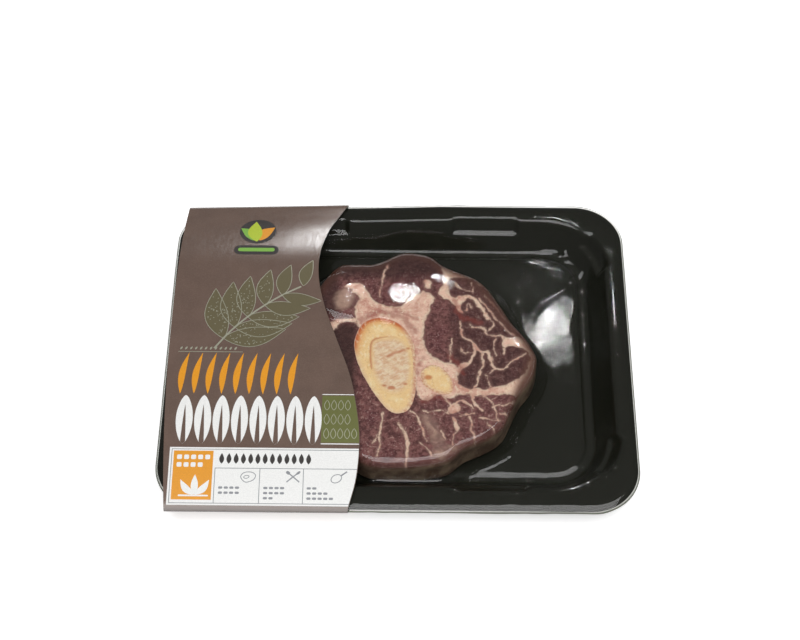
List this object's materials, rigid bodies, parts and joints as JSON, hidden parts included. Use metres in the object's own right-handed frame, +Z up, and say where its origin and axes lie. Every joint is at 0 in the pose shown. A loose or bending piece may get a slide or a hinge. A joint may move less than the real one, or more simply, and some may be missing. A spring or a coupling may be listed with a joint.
{
  "type": "meat tray pack",
  "caption": "Shallow black plastic tray with a bone-in shank steak under tight clear skin film, and a printed card band with a wavy cut edge slipped round its left end.",
  "frame": {"origin": "centre of the bounding box's bottom face, under the middle of the pack on the plane it rests on", "axes": "+X to the right along the tray's length, away from the card band; +Y to the tray's back; +Z up"},
  "size_m": [0.2286, 0.185, 0.0245],
  "materials": {
    "tray_plastic": "satin black polypropylene",
    "meat": "moist raw meat",
    "bone": "sawn bone, satin",
    "marrow": "waxy",
    "clear_film": "clear gloss film",
    "printed_card": "satin printed card"
  },
  "bodies": {
    "root": {"tray": "tray_plastic", "steak": "meat", "leg_bone": "bone", "marrow_core": "marrow", "small_bone": "bone", "film": "clear_film", "sleeve": "printed_card"}
  },
  "joints": []
}
